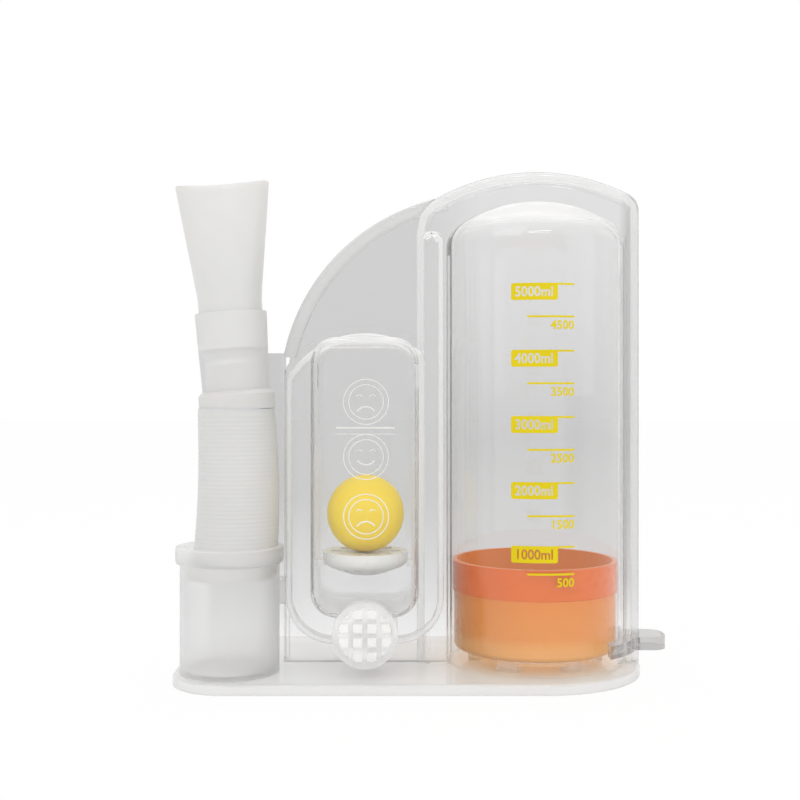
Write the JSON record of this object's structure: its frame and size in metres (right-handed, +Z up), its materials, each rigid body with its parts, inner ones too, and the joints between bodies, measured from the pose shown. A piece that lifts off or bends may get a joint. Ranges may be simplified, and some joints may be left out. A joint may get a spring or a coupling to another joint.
{
  "type": "incentive spirometer",
  "caption": "Clear breathing exerciser with a measuring chamber and piston, a ball flow indicator, a carrying handle, a goal slider, and a cup holding a ribbed hose and mouthpiece.",
  "frame": {"origin": "on the standing plane, under the middle of the base's front-to-back centre line and mid length", "axes": "+Z up; the scale and the air inlet face -Y; +X runs from the hose cup to the measuring chamber"},
  "size_m": [0.2086, 0.0918, 0.2166],
  "materials": {
    "clear_shell": "clear glossy moulded styrene, polished",
    "clear_marker": "clear glossy moulded plastic",
    "frosted_base": "translucent moulded plastic, satin",
    "frosted_cup": "frosted translucent plastic",
    "orange_piston": "translucent orange moulded plastic",
    "orange_band": "deeper orange moulded plastic",
    "yellow_ball": "smooth yellow plastic",
    "white_seat": "white moulded plastic",
    "foam_filter": "open-cell white foam",
    "hose_plastic": "soft ribbed polyethylene, whitish",
    "milky_mouthpiece": "milky translucent polyethylene",
    "valve_silicone": "translucent silicone"
  },
  "bodies": {
    "housing": {"base_tray": "frosted_base", "front_shell": "clear_shell", "rear_shell": "clear_shell", "hose_cup": "frosted_cup", "hose_backplate": "clear_shell", "piston_rest": "clear_shell", "ball_seat": "white_seat", "inlet_grille": "clear_shell", "inlet_filter": "foam_filter"},
    "piston": {"piston_cup": "orange_piston", "piston_band": "orange_band"},
    "ball": {"flow_ball": "yellow_ball"},
    "slider": {"goal_slider": "clear_marker"},
    "hose": {"hose_bellows": "hose_plastic", "hose_plug": "hose_plastic", "hose_cuff": "hose_plastic", "valve_body": "milky_mouthpiece", "valve_seat": "milky_mouthpiece"},
    "flap": {"valve_flap": "valve_silicone"},
    "mouthpiece": {"mouthpiece": "milky_mouthpiece"}
  },
  "joints": [
    {"name": "piston_rise", "type": "slide", "parent": "housing", "child": "piston", "axis": [0, 0, 1], "range_m": [0, 0.131]},
    {"name": "ball_rise", "type": "slide", "parent": "housing", "child": "ball", "axis": [0, 0, 1], "range_m": [0, 0.055]},
    {"name": "slider_travel", "type": "slide", "parent": "housing", "child": "slider", "axis": [0, 0, 1], "range_m": [-0.007, 0.17]},
    {"name": "hose_lift", "type": "slide", "parent": "housing", "child": "hose", "axis": [0, 0, 1], "range_m": [0, 0.06]},
    {"name": "flap_lift", "type": "slide", "parent": "hose", "child": "flap", "axis": [-0.068, 0, 0.9977], "range_m": [0, 0.0025]},
    {"name": "mouthpiece_turn", "type": "hinge", "parent": "hose", "child": "mouthpiece", "pos_m": [-0.0721, -0.0218, 0.1218], "axis": [-0.068, 0, 0.9977], "continuous": true}
  ]
}
